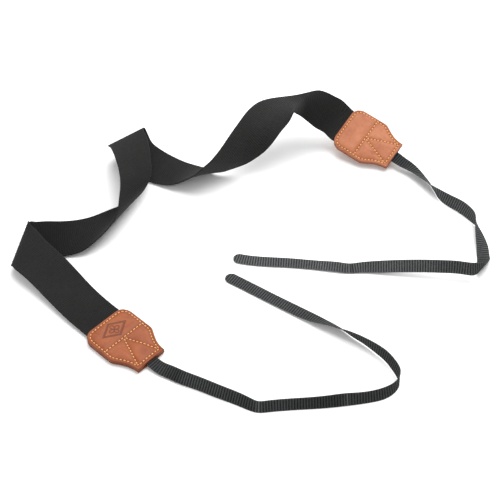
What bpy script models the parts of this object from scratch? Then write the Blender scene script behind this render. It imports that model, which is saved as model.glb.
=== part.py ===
"""Coiled camera strap: wide woven webbing, folded tabs of leather at its ends, thin webbing ties.

The strap lies on the floor as a flattened helix. The wide webbing leaves the near tab, turns over in
two tight slanted folds and three loose bends, climbs to a ridge and comes down into the far tab. A
thin tie leaves the tip of each tab, stands on its edge for a while and ends flat on the floor.
Units are metres and degrees, +Z is up, and the strap is seen from -Y.
"""

import math

import bpy
import numpy as np

# Sizes of the webbing and of the ties
LAY = 0.400  # side of the patch of floor that the strap is laid out on
WEB_WIDTH = 0.038
WEB_THICKNESS = 0.0015
WEB_TUCK = 0.020  # how far the webbing goes in between the two leathers
TIE_WIDTH = 0.0115
TIE_THICKNESS = 0.0010
TIE_TUCK = 0.016  # how far a tie goes in between the two leathers

# Sizes of a leather tab, the same at both ends
TAB_LENGTH = 0.0593
TAB_WIDTH = 0.0475
TAB_CORNER = 0.010  # radius of the two corners that the webbing leaves between
SHOULDER = 0.0342  # from the webbing's edge of the tab to where it starts to narrow
TIP_WIDTH = 0.0295
LEATHER = 0.0022  # one layer
SEAM_SLOPE = 0.0035  # width over which a leather comes down from the pocket to the seam
GAP = 0.0003  # between two pieces

# How the tips of the tabs point: heading counterclockwise from +X, pitch down, roll lifting the left side
NEAR_TAB = dict(heading=-43.0, pitch=0.0, roll=0.0)
FAR_TAB = dict(heading=-34.0, pitch=11.0, roll=22.0)

# Steps along each strap, for its facets
WEB_STEPS = 310
TIE_STEPS = 150

# The webbing from the near tab to the far one. x, y: middle of the webbing in percent of LAY. z: its
# height in percent of WEB_WIDTH. heading, rise: which way the line straight across the webbing runs
# from its right edge to its left one, and how steeply it climbs.
WEB_ROWS = (
    # x, y, z, heading, rise
    (-31.1, -22.1, 7.7, -133.0, 0.0),
    (-35.7, -17.8, 11.0, -135.0, 0.0),
    (-39.55, -13.8, 17.0, -141.0, -1.5),
    (-45.5, -7.75, 33.0, -138.5, -7.0),
    (-48.5, -4.9, 38.0, -121.0, -10.0),
    (-50.5, -2.5, 37.5, -108.0, -11.0),
    (-51.6, -0.4, 27.5, -102.0, -11.5),
    (-51.2, 0.5, 18.5, -100.0, -12.0),
    (-48.3, 1.65, 15.0, -101.0, -12.5),
    (-44.1, 2.1, 13.5, -104.0, -11.0),
    (-37.0, 3.9, 13.0, -104.0, -1.0),
    (-32.3, 6.8, 21.0, -106.0, 10.0),
    (-28.6, 9.8, 35.5, -111.5, 15.0),
    (-26.8, 12.9, 56.5, -116.5, 17.5),
    (-26.7, 19.5, 73.5, -116.0, 19.0),
    (-28.6, 28.0, 71.0, -125.0, 12.6),
    (-29.6, 31.1, 62.0, -131.5, 8.0),
    (-30.1, 33.7, 46.0, -137.0, 4.0),
    (-29.6, 34.3, 30.0, -139.0, -1.0),
    (-28.1, 31.8, 19.5, -134.0, -7.0),
    (-25.6, 28.8, 14.5, -126.6, -10.0),
    (-22.4, 26.5, 10.5, -119.0, -9.0),
    (-19.0, 24.8, 9.5, -113.6, -1.5),
    (-16.0, 23.8, 13.0, -111.0, 9.4),
    (-13.0, 23.0, 22.5, -114.0, 22.6),
    (-10.5, 21.9, 33.0, -127.0, 31.4),
    (-7.8, 22.2, 47.5, -136.0, 36.5),
    (-4.8, 23.1, 64.5, -148.0, 38.0),
    (-2.0, 25.2, 82.5, -168.0, 43.0),
    (0.65, 28.0, 98.0, 166.0, 36.5),
    (3.15, 31.35, 112.5, 143.0, 24.0),
    (5.7, 34.2, 119.5, 128.0, 11.5),
    (8.6, 36.2, 120.0, 103.5, -5.0),
    (11.4, 37.4, 125.0, 79.0, -13.0),
    (13.8, 37.75, 127.5, 60.0, -4.0),
    (16.05, 37.65, 116.5, 54.0, 8.5),
    (18.55, 37.7, 95.0, 51.5, 16.5),
    (21.3, 37.85, 69.5, 51.0, 21.0),
    (23.2, 36.9, 54.6, 51.6, 21.6),
)

# A tie from the tip of its tab to its free end. x, y: from the middle of the tip, in percent of LAY.
# z: its height in percent of TIE_WIDTH. heading, rise: as for the webbing.
NEAR_ROWS = (
    # x, y, z, heading, rise
    (0.0, 0.0, 25.0, 47.0, 0.0),
    (1.96, -1.7, 26.0, 50.0, 9.0),
    (3.93, -2.9, 31.0, 54.0, 23.0),
    (6.39, -4.4, 39.0, 58.0, 37.0),
    (9.69, -6.0, 45.0, 64.0, 47.0),
    (13.89, -8.1, 49.0, 69.0, 51.0),
    (17.69, -9.9, 51.0, 74.0, 57.0),
    (20.29, -11.3, 52.0, 84.0, 62.0),
    (21.89, -12.0, 54.0, 94.0, 69.0),
    (23.89, -11.9, 54.0, 96.0, 69.0),
    (28.39, -11.4, 53.0, 96.0, 68.0),
    (35.69, -10.75, 52.0, 97.0, 63.0),
    (39.69, -10.2, 52.0, 98.0, 60.0),
    (41.29, -10.05, 53.0, 98.0, 64.0),
    (44.89, -9.5, 55.0, 106.0, 69.0),
    (48.69, -8.0, 57.0, 125.0, 73.0),
    (50.29, -6.3, 58.0, -157.0, 76.0),
    (50.74, -4.4, 58.0, -13.0, 85.0),
    (49.79, -1.5, 57.0, 28.0, 78.0),
    (48.59, 0.5, 57.0, 40.0, 80.0),
    (46.59, 2.6, 57.0, 111.0, 82.0),
    (44.29, 4.6, 56.0, -166.0, 80.0),
    (41.39, 6.7, 52.0, -143.0, 67.0),
    (38.99, 8.5, 43.0, -132.0, 46.0),
    (36.69, 10.0, 34.0, -119.0, 33.0),
    (34.29, 11.5, 19.0, -120.0, 15.0),
    (31.29, 13.4, 11.0, -121.0, 5.0),
    (26.99, 16.2, 8.0, -123.0, 3.0),
    (17.99, 22.2, 6.0, -123.0, 0.0),
    (15.09, 24.1, 6.0, -123.0, 0.0),
)
FAR_ROWS = (
    # x, y, z, heading, rise
    (0.0, 0.0, 82.0, 51.6, 21.6),
    (1.64, -1.4, 70.0, 48.0, 14.0),
    (3.39, -2.69, 58.0, 42.0, 1.0),
    (5.13, -4.49, 49.0, 34.0, -18.0),
    (6.33, -6.29, 48.0, 32.0, -32.0),
    (7.53, -8.29, 49.0, 30.0, -48.0),
    (8.53, -10.39, 52.0, 28.0, -68.0),
    (9.83, -12.59, 57.0, -145.0, -84.0),
    (11.63, -14.39, 54.0, -132.0, -65.0),
    (13.73, -15.99, 50.0, -128.0, -54.0),
    (15.53, -18.19, 52.0, -145.0, -62.0),
    (16.63, -20.39, 56.0, -157.0, -82.0),
    (17.13, -22.19, 53.0, 12.0, -66.0),
    (17.33, -23.99, 44.0, 9.0, -45.0),
    (17.53, -26.39, 31.0, 6.0, -25.0),
    (17.63, -28.39, 17.0, 3.0, -9.0),
    (17.53, -30.39, 8.0, 6.0, 0.0),
    (17.33, -32.49, 13.0, 29.0, 4.0),
    (16.83, -34.49, 31.0, 38.0, 14.0),
    (16.23, -35.99, 61.0, 45.0, 19.0),
    (15.23, -36.99, 91.0, 51.0, 21.0),
    (13.43, -37.49, 109.0, 58.0, 29.0),
    (11.03, -37.19, 113.0, 67.0, 37.0),
    (7.53, -36.69, 106.0, 78.0, 41.0),
    (3.43, -36.09, 89.0, 83.0, 37.0),
    (-1.87, -35.39, 61.0, 86.0, 31.0),
    (-6.67, -34.89, 35.0, 86.0, 20.0),
    (-11.07, -34.59, 12.0, 86.0, 5.0),
    (-12.67, -34.69, 9.0, 86.0, 2.0),
    (-15.07, -34.49, 14.0, 85.0, 3.0),
    (-19.57, -33.79, 8.0, 84.0, 0.0),
    (-26.17, -32.99, 6.0, 84.0, 0.0),
    (-37.87, -31.59, 6.0, 84.0, 0.0),
    (-38.87, -31.29, 6.0, 84.0, 0.0),
)


def aim(heading, rise):
    """The unit vector at these angles: (cos h cos r, sin h cos r, sin r)."""
    heading, rise = np.radians(heading), np.radians(rise)
    return np.stack(
        [np.cos(heading) * np.cos(rise), np.sin(heading) * np.cos(rise), np.sin(rise)], -1
    )


def unit(vectors):
    return vectors / np.linalg.norm(vectors, axis=-1, keepdims=True)


def tab_axes(heading, pitch, roll):
    """The tab's three directions: towards its tip, to its left, and out of its upper face."""
    ahead = aim(heading, -pitch)
    left = unit(np.cross((0.0, 0.0, 1.0), ahead))
    up = np.cross(ahead, left)
    roll = math.radians(roll)
    left, up = (
        left * math.cos(roll) + up * math.sin(roll),
        up * math.cos(roll) - left * math.sin(roll),
    )
    return ahead, left, up


def spline(knots, values, at, first, last):
    """Cubic spline through the values, with the slopes given at its two ends.

    The slopes m between follow from an even second derivative at each knot:
    h1 m0 + 2 (h0 + h1) m1 + h0 m2 = 3 (h1 d0 + h0 d1), for the spans h and the chords' slopes d.
    """
    spans = np.diff(knots)
    chords = np.diff(values, axis=0) / spans[:, None]
    count = len(knots)
    system = np.eye(count)
    right = np.zeros_like(values)
    for i in range(1, count - 1):
        system[i, i - 1 : i + 2] = spans[i], 2 * (spans[i - 1] + spans[i]), spans[i - 1]
        right[i] = 3 * (spans[i] * chords[i - 1] + spans[i - 1] * chords[i])
    right[0], right[-1] = first, last
    slopes = np.linalg.solve(system, right)
    i = np.clip(np.searchsorted(knots, at, side="right") - 1, 0, count - 2)
    h = spans[i][:, None]
    u = (at - knots[i])[:, None] / h
    a, b, m, n = values[i], values[i + 1], slopes[i], slopes[i + 1]
    place = a + u * (h * m + u * (3 * (b - a) - h * (2 * m + n) + u * (2 * (a - b) + h * (m + n))))
    slope = m + u * (6 * (b - a) - h * (4 * m + 2 * n) + u * (6 * (a - b) + 3 * h * (m + n))) / h
    return place, slope


def ribbon(rows, origin, width, steps, start, end):
    """Edges of a strap that follows the rows: its right and left edge points, and the way along it.

    The line across the strap is straight, so half of it is width / 2 / sin(angle to the strap's
    middle line), which keeps the strap's width where a fold slants. start and end are the middle of
    each end and its two directions, along the strap and across it to its left, or None for a free end.
    """
    rows = np.array(rows)
    middle = rows[:, :3] * (LAY, LAY, width) / 100 + origin
    across = aim(rows[:, 3], rows[:, 4])
    end = (middle[-1], unit(middle[-1] - middle[-2]), across[-1]) if end is None else end
    middle[0], middle[-1], across[0], across[-1] = start[0], end[0], start[2], end[2]
    knots = np.concatenate([[0.0], np.cumsum(np.linalg.norm(np.diff(middle, axis=0), axis=1))])
    at = np.linspace(0.0, knots[-1], steps + 1)
    middle, along = spline(knots, middle, at, start[1], end[1])
    along = unit(along)
    across = unit(spline(knots, across, at, 0.0, 0.0)[0])
    sine = np.linalg.norm(np.cross(along, across), axis=1, keepdims=True)
    half = across * (width / 2 / sine)
    return middle - half, middle + half


def tucked(right, left, way, length):
    """The same edges with a straight piece before them, which goes back inside a tab."""
    back = -way * length
    return np.vstack([right[:1] + back, right]), np.vstack([left[:1] + back, left])


def rounded(right, left, width):
    """The same edges with the far end cut to a half circle, in five steps."""
    radius = width / 2
    middle = (right + left) / 2
    lengths = np.concatenate([[0.0], np.cumsum(np.linalg.norm(np.diff(middle, axis=0), axis=1))])
    turn = np.radians([0, 25, 45, 62, 76, 86])
    at = lengths[-1] - radius + radius * np.sin(turn)
    keep = lengths < at[0] - 0.0004
    pick = lambda line: np.stack([np.interp(at, lengths, line[:, k]) for k in range(3)], -1)
    centre, side = pick(middle), pick(left - middle) * np.cos(turn)[:, None]
    return np.vstack([right[keep], centre - side]), np.vstack([left[keep], centre + side])


def mesh_object(name, points, material):
    """An object whose faces join a grid of points, rows by columns, with its material."""
    rows, columns = points.shape[:2]
    grid = np.arange(rows * columns).reshape(rows, columns)
    faces = np.stack([grid[:-1, :-1], grid[1:, :-1], grid[1:, 1:], grid[:-1, 1:]], -1)
    mesh = bpy.data.meshes.new(name)
    mesh.from_pydata(points.reshape(-1, 3).tolist(), [], faces.reshape(-1, 4).tolist())
    mesh.materials.append(material)
    made = bpy.data.objects.new(name, mesh)
    strap.objects.link(made)
    return made


def thicken(made, thickness, offset):
    solidify = made.modifiers.new("Thickness", "SOLIDIFY")
    solidify.thickness = thickness
    solidify.offset = offset
    return made


def material(name, colour, roughness):
    made = bpy.data.materials.new(name)
    made.use_nodes = True
    shader = made.node_tree.nodes["Principled BSDF"]
    shader.inputs["Base Color"].default_value = (*colour, 1.0)
    shader.inputs["Roughness"].default_value = roughness
    return made


def tab_half_width(along):
    """Half of the tab's width at a distance from the edge that the webbing leaves by."""
    corner = TAB_WIDTH / 2 - TAB_CORNER + np.sqrt(
        np.maximum(TAB_CORNER**2 - np.maximum(TAB_CORNER - along, 0.0) ** 2, 0.0)
    )
    # Past the shoulder the side curves in to the tip: share of the way there, share of the narrowing
    shares = (0.0, 0.0), (0.08, 0.06), (0.2, 0.25), (0.4, 0.58), (0.6, 0.83), (0.8, 0.96), (1.0, 1.0)
    way = (along - SHOULDER) / (TAB_LENGTH - SHOULDER)
    narrowing = np.interp(way, *zip(*shares))
    return corner - (TAB_WIDTH - TIP_WIDTH) / 2 * narrowing


def pocket(along, aside, start, end, half_width):
    """1 over a piece tucked in between the leathers and a little round it, 0 past the slope to the seam."""
    clear = 3 * GAP
    beyond = np.maximum(np.maximum(start - along, along - end), np.abs(aside) - half_width)
    fall = np.clip((beyond - clear) / SEAM_SLOPE, 0.0, 1.0)
    return 1 - fall * fall * (3 - 2 * fall)


def tab_leathers(name, origin, axes):
    """The tab's upper and lower leather: inner faces that lie on the webbing and the tie, and meet round them."""
    ahead, left, up = axes
    clear = 3 * GAP
    web_end, tie_start = WEB_TUCK + clear, TAB_LENGTH - TIE_TUCK - clear
    along = np.concatenate(
        [
            TAB_CORNER * (1 - np.cos(np.radians([0, 22, 45, 68]))),
            np.linspace(TAB_CORNER, web_end, 4),
            np.linspace(web_end + SEAM_SLOPE / 2, tie_start - SEAM_SLOPE / 2, 6),
            np.linspace(tie_start, TAB_LENGTH, 6),
        ]
    )[:, None]
    aside = np.array([-1, -0.93, -0.86, -0.8, -0.6, -0.4, -0.2, 0, 0.2, 0.4, 0.6, 0.8, 0.86, 0.93, 1])
    aside = aside * tab_half_width(along)
    along = np.broadcast_to(along, aside.shape)
    over_web = pocket(along, aside, -LAY, WEB_TUCK, WEB_WIDTH / 2)
    over_tie = pocket(along, aside, TAB_LENGTH - TIE_TUCK, LAY, TIE_WIDTH / 2)
    height = GAP / 2 + np.maximum(
        (WEB_THICKNESS / 2 + GAP / 2) * over_web, (TIE_THICKNESS / 2 + GAP / 2) * over_tie
    )
    for side, layer in ((1, "front"), (-1, "back")):
        points = (
            origin
            + along[..., None] * ahead
            + side * aside[..., None] * left
            + side * height[..., None] * up
        )
        thicken(mesh_object(f"leather_{layer}_{name}", points, tan_leather), LEATHER, 1.0)


for old in list(bpy.data.objects):
    bpy.data.objects.remove(old)
strap = bpy.data.collections.new("coiled_camera_strap")
bpy.context.scene.collection.children.link(strap)

black_webbing = material("black webbing", (0.028, 0.028, 0.026), 0.85)
black_tie = material("black tie webbing", (0.030, 0.030, 0.028), 0.85)
tan_leather = material("tan leather", (0.50, 0.16, 0.06), 0.6)

near_axes, far_axes = tab_axes(**NEAR_TAB), tab_axes(**FAR_TAB)
near_edge, far_edge = (np.array(WEB_ROWS[i][:3]) * (LAY, LAY, WEB_WIDTH) / 100 for i in (0, -1))

# The wide webbing leaves the near tab backwards and ends inside the far one
from_near = near_edge, -near_axes[0], -near_axes[1]
into_far = far_edge, far_axes[0], far_axes[1]
right, left = ribbon(WEB_ROWS, 0.0, WEB_WIDTH, WEB_STEPS, from_near, into_far)
right, left = tucked(right, left, -near_axes[0], WEB_TUCK)
right, left = tucked(right[::-1], left[::-1], -far_axes[0], WEB_TUCK)
webbing = mesh_object("neck_webbing", np.stack([right, (right + left) / 2, left], 1), black_webbing)
thicken(webbing, WEB_THICKNESS, 0.0)

# Each tab follows its end of the webbing, and each tie follows the tip of its tab
for name, edge, axes, rows in (
    ("near", near_edge, near_axes, NEAR_ROWS),
    ("far", far_edge, far_axes, FAR_ROWS),
):
    tab_leathers(name, edge, axes)
    tip = edge + axes[0] * TAB_LENGTH
    floor_tip = np.array([tip[0], tip[1], 0.0])
    right, left = ribbon(rows, floor_tip, TIE_WIDTH, TIE_STEPS, (tip, axes[0], axes[1]), None)
    right, left = tucked(right, left, axes[0], TIE_TUCK)
    right, left = rounded(right, left, TIE_WIDTH)
    tie = mesh_object(f"tie_strap_{name}", np.stack([right, left], 1), black_tie)
    thicken(tie, TIE_THICKNESS, 0.0)

# The whole strap stands on the floor, with the middle of its box at the origin
bpy.context.view_layer.update()
graph = bpy.context.evaluated_depsgraph_get()
corners = np.array([corner[:] for made in strap.objects for corner in made.evaluated_get(graph).bound_box])
low, high = corners.min(axis=0), corners.max(axis=0)
centre = np.array([(low[0] + high[0]) / 2, (low[1] + high[1]) / 2, low[2]])
for made in strap.objects:
    for vertex in made.data.vertices:
        vertex.co = vertex.co[0] - centre[0], vertex.co[1] - centre[1], vertex.co[2] - centre[2]
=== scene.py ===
# %% [markdown]
# # A coiled camera strap
# This lesson dresses a camera strap that lies loosely coiled on the floor. It has one wide band of
# black webbing, a tab of tan leather sewn on each end, and a thin black tie out of each tab's tip.
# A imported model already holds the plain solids. Everything here is set in its frame, in metres.

import math

import bpy
import numpy as np
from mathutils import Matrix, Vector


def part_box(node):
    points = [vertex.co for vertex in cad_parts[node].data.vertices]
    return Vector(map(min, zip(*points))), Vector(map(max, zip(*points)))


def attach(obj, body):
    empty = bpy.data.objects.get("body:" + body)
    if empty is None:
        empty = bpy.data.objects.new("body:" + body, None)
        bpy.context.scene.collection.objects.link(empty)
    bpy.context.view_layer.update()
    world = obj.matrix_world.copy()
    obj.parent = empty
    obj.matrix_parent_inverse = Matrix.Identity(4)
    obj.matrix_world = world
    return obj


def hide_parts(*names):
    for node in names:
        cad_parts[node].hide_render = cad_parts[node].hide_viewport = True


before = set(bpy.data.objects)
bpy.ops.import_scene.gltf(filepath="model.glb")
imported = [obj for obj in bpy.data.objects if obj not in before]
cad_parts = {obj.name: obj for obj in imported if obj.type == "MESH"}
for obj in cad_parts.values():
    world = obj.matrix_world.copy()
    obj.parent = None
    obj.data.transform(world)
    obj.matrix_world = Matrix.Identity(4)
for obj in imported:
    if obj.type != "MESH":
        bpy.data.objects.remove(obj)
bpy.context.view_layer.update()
MM = 0.001

# %% [markdown]
# ## The camera
# The photograph looks down on the strap from 47 degrees above the floor, from about a metre away
# with a long lens. That flattens perspective, so edges that run side by side stay nearly parallel.
# The camera is placed from the point that it looks at, by its distance and its angle.

# %% Camera
LAY_CENTRE = (-0.0024, 0.0043)  # the middle of the picture on the floor
CAMERA_DISTANCE = 1.0
CAMERA_HEIGHT_ANGLE = math.radians(47)
SENSOR = 36.0
LENS = 79.2

camera = bpy.data.objects.new("camera", bpy.data.cameras.new("camera"))
bpy.context.scene.collection.objects.link(camera)
camera.location = (
    LAY_CENTRE[0],
    LAY_CENTRE[1] - CAMERA_DISTANCE * math.cos(CAMERA_HEIGHT_ANGLE),
    CAMERA_DISTANCE * math.sin(CAMERA_HEIGHT_ANGLE),
)
camera.rotation_euler = (math.pi / 2 - CAMERA_HEIGHT_ANGLE, 0, 0)
camera.data.sensor_fit = "HORIZONTAL"
camera.data.sensor_width = SENSOR
camera.data.lens = LENS
camera.data.clip_start = 0.01
bpy.context.scene.camera = camera
print("camera", [round(v, 3) for v in camera.location])

# %% [markdown]
# ## Floor and light
# The strap lies on white studio paper. One large soft light hangs above and a little behind it, so
# the shadows are short and fall towards the camera. A weak one in front and the white surroundings
# fill them in. The plain colour transform keeps the paper white, as in a product photograph.

# %% Floor and light
def bare_material(name):
    """A new material, with its node tree and its shader."""
    made = bpy.data.materials.new(name)
    made.use_nodes = True
    return made, made.node_tree, made.node_tree.nodes["Principled BSDF"]


def soft_light(name, place, size, watts):
    """A square area light that shines from its place towards the middle of the strap."""
    data = bpy.data.lights.new(name, "AREA")
    data.size, data.energy = size, watts
    light = bpy.data.objects.new(name, data)
    light.location = place
    away = np.array(place) / np.linalg.norm(place)
    light.rotation_euler = (math.acos(away[2]), 0, math.atan2(away[0], -away[1]))
    bpy.context.scene.collection.objects.link(light)


FLOOR_SIDE = 6.0
PAPER = (0.95, 0.95, 0.95, 1.0)
SURROUNDINGS_STRENGTH = 0.66

paper, _, paper_shader = bare_material("white paper")
paper_shader.inputs["Base Color"].default_value = PAPER
paper_shader.inputs["Roughness"].default_value = 0.9
paper_shader.inputs["Specular IOR Level"].default_value = 0.1
floor_mesh = bpy.data.meshes.new("floor")
floor_corners = [(x * FLOOR_SIDE / 2, y * FLOOR_SIDE / 2, 0) for x, y in ((-1, -1), (1, -1), (1, 1), (-1, 1))]
floor_mesh.from_pydata(floor_corners, [], [(0, 1, 2, 3)])
floor_mesh.materials.append(paper)
floor = bpy.data.objects.new("floor", floor_mesh)
bpy.context.scene.collection.objects.link(floor)

surroundings = bpy.data.worlds.new("white surroundings")
surroundings.use_nodes = True
surroundings.node_tree.nodes["Background"].inputs["Color"].default_value = (1, 1, 1, 1)
surroundings.node_tree.nodes["Background"].inputs["Strength"].default_value = SURROUNDINGS_STRENGTH
bpy.context.scene.world = surroundings
soft_light("overhead softbox", place=(0.25, 0.6, 1.35), size=1.5, watts=33)
soft_light("front fill", place=(-0.7, -1.2, 1.0), size=1.2, watts=6)
bpy.context.scene.view_settings.view_transform = "Standard"

# %% [markdown]
# ## How the strap lies
# A strap is a flat band that bends and folds but does not stretch. Through each of its points runs a straight
# line across it, and where a fold slants that line slants with it. So the lie is told by a list of rows:
# where the middle of the band is, and how the line across it is turned. The rows began as points on both
# edges of the band, read off the photograph with a guessed height each. A helper script turned those into
# middles and angles, which were rounded and then changed by hand until the pictures agreed. The ties' rows
# were later moved by 2 mm when the tabs became a little smaller.
# The webbing makes a flattened spiral, with two sharp slanted folds on its left.

# %% Sizes and the rows of the lie
LAY = 0.400  # side of the patch of floor that the strap is laid out on
WEB_WIDTH, WEB_THICKNESS, WEB_TUCK = 0.038, 0.0015, 0.020
TIE_WIDTH, TIE_THICKNESS, TIE_TUCK = 0.0115, 0.0010, 0.016
TAB_LENGTH, TAB_WIDTH, TAB_CORNER, SHOULDER, TIP_WIDTH = 0.0593, 0.0475, 0.010, 0.0342, 0.0295
LEATHER, SEAM_SLOPE, GAP = 0.0022, 0.0035, 0.0003
NEAR_TAB = dict(heading=-43.0, pitch=0.0, roll=0.0)
FAR_TAB = dict(heading=-34.0, pitch=11.0, roll=22.0)

# x, y in percent of LAY, z in percent of the band's width, heading and rise in degrees
WEB_ROWS = (
    (-31.1, -22.1, 7.7, -133.0, 0.0),
    (-35.7, -17.8, 11.0, -135.0, 0.0),
    (-39.55, -13.8, 17.0, -141.0, -1.5),
    (-45.5, -7.75, 33.0, -138.5, -7.0),
    (-48.5, -4.9, 38.0, -121.0, -10.0),
    (-50.5, -2.5, 37.5, -108.0, -11.0),
    (-51.6, -0.4, 27.5, -102.0, -11.5),
    (-51.2, 0.5, 18.5, -100.0, -12.0),
    (-48.3, 1.65, 15.0, -101.0, -12.5),
    (-44.1, 2.1, 13.5, -104.0, -11.0),
    (-37.0, 3.9, 13.0, -104.0, -1.0),
    (-32.3, 6.8, 21.0, -106.0, 10.0),
    (-28.6, 9.8, 35.5, -111.5, 15.0),
    (-26.8, 12.9, 56.5, -116.5, 17.5),
    (-26.7, 19.5, 73.5, -116.0, 19.0),
    (-28.6, 28.0, 71.0, -125.0, 12.6),
    (-29.6, 31.1, 62.0, -131.5, 8.0),
    (-30.1, 33.7, 46.0, -137.0, 4.0),
    (-29.6, 34.3, 30.0, -139.0, -1.0),
    (-28.1, 31.8, 19.5, -134.0, -7.0),
    (-25.6, 28.8, 14.5, -126.6, -10.0),
    (-22.4, 26.5, 10.5, -119.0, -9.0),
    (-19.0, 24.8, 9.5, -113.6, -1.5),
    (-16.0, 23.8, 13.0, -111.0, 9.4),
    (-13.0, 23.0, 22.5, -114.0, 22.6),
    (-10.5, 21.9, 33.0, -127.0, 31.4),
    (-7.8, 22.2, 47.5, -136.0, 36.5),
    (-4.8, 23.1, 64.5, -148.0, 38.0),
    (-2.0, 25.2, 82.5, -168.0, 43.0),
    (0.65, 28.0, 98.0, 166.0, 36.5),
    (3.15, 31.35, 112.5, 143.0, 24.0),
    (5.7, 34.2, 119.5, 128.0, 11.5),
    (8.6, 36.2, 120.0, 103.5, -5.0),
    (11.4, 37.4, 125.0, 79.0, -13.0),
    (13.8, 37.75, 127.5, 60.0, -4.0),
    (16.05, 37.65, 116.5, 54.0, 8.5),
    (18.55, 37.7, 95.0, 51.5, 16.5),
    (21.3, 37.85, 69.5, 51.0, 21.0),
    (23.2, 36.9, 54.6, 51.6, 21.6),
)
# The ties are told from the middle of their tab's tip
NEAR_ROWS = (
    (0.0, 0.0, 25.0, 47.0, 0.0),
    (1.96, -1.7, 26.0, 50.0, 9.0),
    (3.93, -2.9, 31.0, 54.0, 23.0),
    (6.39, -4.4, 39.0, 58.0, 37.0),
    (9.69, -6.0, 45.0, 64.0, 47.0),
    (13.89, -8.1, 49.0, 69.0, 51.0),
    (17.69, -9.9, 51.0, 74.0, 57.0),
    (20.29, -11.3, 52.0, 84.0, 62.0),
    (21.89, -12.0, 54.0, 94.0, 69.0),
    (23.89, -11.9, 54.0, 96.0, 69.0),
    (28.39, -11.4, 53.0, 96.0, 68.0),
    (35.69, -10.75, 52.0, 97.0, 63.0),
    (39.69, -10.2, 52.0, 98.0, 60.0),
    (41.29, -10.05, 53.0, 98.0, 64.0),
    (44.89, -9.5, 55.0, 106.0, 69.0),
    (48.69, -8.0, 57.0, 125.0, 73.0),
    (50.29, -6.3, 58.0, -157.0, 76.0),
    (50.74, -4.4, 58.0, -13.0, 85.0),
    (49.79, -1.5, 57.0, 28.0, 78.0),
    (48.59, 0.5, 57.0, 40.0, 80.0),
    (46.59, 2.6, 57.0, 111.0, 82.0),
    (44.29, 4.6, 56.0, -166.0, 80.0),
    (41.39, 6.7, 52.0, -143.0, 67.0),
    (38.99, 8.5, 43.0, -132.0, 46.0),
    (36.69, 10.0, 34.0, -119.0, 33.0),
    (34.29, 11.5, 19.0, -120.0, 15.0),
    (31.29, 13.4, 11.0, -121.0, 5.0),
    (26.99, 16.2, 8.0, -123.0, 3.0),
    (17.99, 22.2, 6.0, -123.0, 0.0),
    (15.09, 24.1, 6.0, -123.0, 0.0),
)
FAR_ROWS = (
    (0.0, 0.0, 82.0, 51.6, 21.6),
    (1.64, -1.4, 70.0, 48.0, 14.0),
    (3.39, -2.69, 58.0, 42.0, 1.0),
    (5.13, -4.49, 49.0, 34.0, -18.0),
    (6.33, -6.29, 48.0, 32.0, -32.0),
    (7.53, -8.29, 49.0, 30.0, -48.0),
    (8.53, -10.39, 52.0, 28.0, -68.0),
    (9.83, -12.59, 57.0, -145.0, -84.0),
    (11.63, -14.39, 54.0, -132.0, -65.0),
    (13.73, -15.99, 50.0, -128.0, -54.0),
    (15.53, -18.19, 52.0, -145.0, -62.0),
    (16.63, -20.39, 56.0, -157.0, -82.0),
    (17.13, -22.19, 53.0, 12.0, -66.0),
    (17.33, -23.99, 44.0, 9.0, -45.0),
    (17.53, -26.39, 31.0, 6.0, -25.0),
    (17.63, -28.39, 17.0, 3.0, -9.0),
    (17.53, -30.39, 8.0, 6.0, 0.0),
    (17.33, -32.49, 13.0, 29.0, 4.0),
    (16.83, -34.49, 31.0, 38.0, 14.0),
    (16.23, -35.99, 61.0, 45.0, 19.0),
    (15.23, -36.99, 91.0, 51.0, 21.0),
    (13.43, -37.49, 109.0, 58.0, 29.0),
    (11.03, -37.19, 113.0, 67.0, 37.0),
    (7.53, -36.69, 106.0, 78.0, 41.0),
    (3.43, -36.09, 89.0, 83.0, 37.0),
    (-1.87, -35.39, 61.0, 86.0, 31.0),
    (-6.67, -34.89, 35.0, 86.0, 20.0),
    (-11.07, -34.59, 12.0, 86.0, 5.0),
    (-12.67, -34.69, 9.0, 86.0, 2.0),
    (-15.07, -34.49, 14.0, 85.0, 3.0),
    (-19.57, -33.79, 8.0, 84.0, 0.0),
    (-26.17, -32.99, 6.0, 84.0, 0.0),
    (-37.87, -31.59, 6.0, 84.0, 0.0),
    (-38.87, -31.29, 6.0, 84.0, 0.0),
)
print("rows of the lie:", len(WEB_ROWS), len(NEAR_ROWS), len(FAR_ROWS))

# %% [markdown]
# ## From rows to a smooth band
# A cubic spline runs through the rows, once for the middle of the band and once for the line across
# it. Before weaving ribs into the surface, the band has to be unrolled on paper: ribs run square to
# its edges even where a fold slants. The function `flat_grid` finds, for each place on the unrolled
# band, the point in space that it lands on. Every later pattern is then a matter of flat coordinates.

# %% Splines and the unrolled band
def aim(heading, rise):
    """The unit vector at these angles: (cos h cos r, sin h cos r, sin r)."""
    heading, rise = np.radians(heading), np.radians(rise)
    return np.stack([np.cos(heading) * np.cos(rise), np.sin(heading) * np.cos(rise), np.sin(rise)], -1)


def unit(vectors):
    """The same directions with length 1: v / |v|."""
    return vectors / np.linalg.norm(vectors, axis=-1, keepdims=True)


def lengths_along(points):
    """Distance from the first point to each: the running sum of |next - this|."""
    return np.concatenate([[0.0], np.cumsum(np.linalg.norm(np.diff(points, axis=0), axis=1))])


def tab_axes(heading, pitch, roll):
    """The tab's three directions: towards its tip, to its left, and out of its upper face."""
    ahead = aim(heading, -pitch)
    left = unit(np.cross((0.0, 0.0, 1.0), ahead))
    up = np.cross(ahead, left)
    roll = math.radians(roll)
    return (
        ahead,
        left * math.cos(roll) + up * math.sin(roll),
        up * math.cos(roll) - left * math.sin(roll),
    )


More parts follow.
